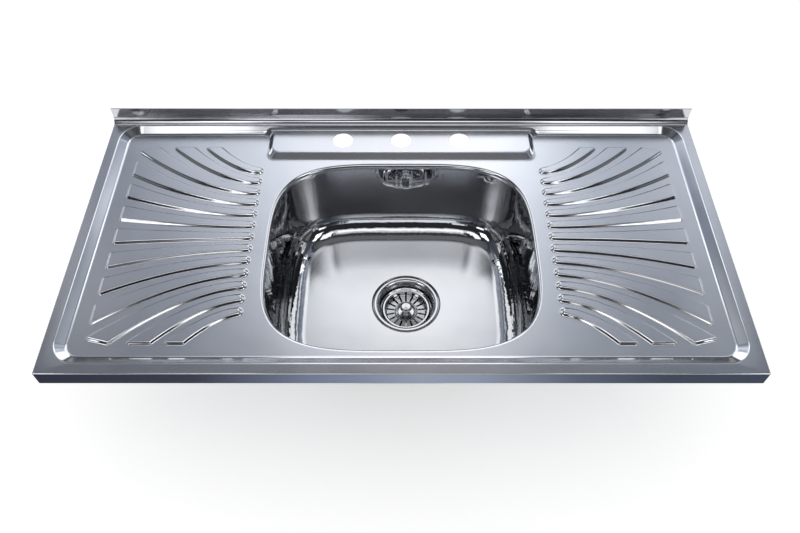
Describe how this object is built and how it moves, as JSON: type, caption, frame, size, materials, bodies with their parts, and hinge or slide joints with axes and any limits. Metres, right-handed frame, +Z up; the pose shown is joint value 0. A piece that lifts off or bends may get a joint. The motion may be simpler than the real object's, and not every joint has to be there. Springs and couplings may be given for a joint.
{
  "type": "kitchen sink",
  "caption": "Lay-on stainless kitchen sink with a centre bowl, ribbed drainboards either side, tap ledge, rear upstand and basket strainer waste.",
  "frame": {"origin": "centre of the plane on which the folded edges rest, level with the base unit's top, midway along the sink and midway from front to back", "axes": "+X to the user's right along the sink, +Y towards the wall, +Z up"},
  "size_m": [1, 0.5, 0.2659],
  "materials": {
    "panel_steel": "satin drainboards, polished slopes",
    "bowl_steel": "polished walls, satin floor",
    "waste_steel": "polished",
    "basket_steel": "polished",
    "knob_steel": "polished",
    "stiffener_steel": "mill",
    "bracket_zinc": "zinc plated",
    "screw_zinc": "zinc plated",
    "damping_pad": "matt",
    "seal_rubber": "matt",
    "waste_plastic": "matt",
    "insert_brass": "turned"
  },
  "bodies": {
    "sink": {"drainboard_panel": "panel_steel", "bowl": "bowl_steel", "left_inner_stiffener": "stiffener_steel", "left_outer_stiffener": "stiffener_steel", "right_inner_stiffener": "stiffener_steel", "right_outer_stiffener": "stiffener_steel", "floor_damping_pad": "damping_pad", "right_damping_pad": "damping_pad", "rear_damping_pad": "damping_pad", "left_damping_pad": "damping_pad", "front_damping_pad": "damping_pad", "front_left_bracket": "bracket_zinc", "rear_left_bracket": "bracket_zinc", "front_right_bracket": "bracket_zinc", "rear_right_bracket": "bracket_zinc", "fixing_screws": "screw_zinc", "waste_flange": "waste_steel", "waste_body": "waste_plastic", "thread_insert": "insert_brass", "clamp_screw": "screw_zinc", "flange_seal": "seal_rubber", "body_seal": "seal_rubber"},
    "lift_post": {"basket_knob": "knob_steel", "basket_spindle": "basket_steel", "spindle_clip": "basket_steel"},
    "basket": {"strainer_basket": "basket_steel", "basket_seal": "seal_rubber"}
  },
  "joints": [
    {"name": "basket_lift", "type": "slide", "parent": "sink", "child": "lift_post", "axis": [0, 0, 1], "range_m": [0, 0.3]},
    {"name": "basket_turn", "type": "hinge", "parent": "lift_post", "child": "basket", "pos_m": [0.0084, -0.031, -0.152], "axis": [0, 0, 1], "continuous": true}
  ]
}
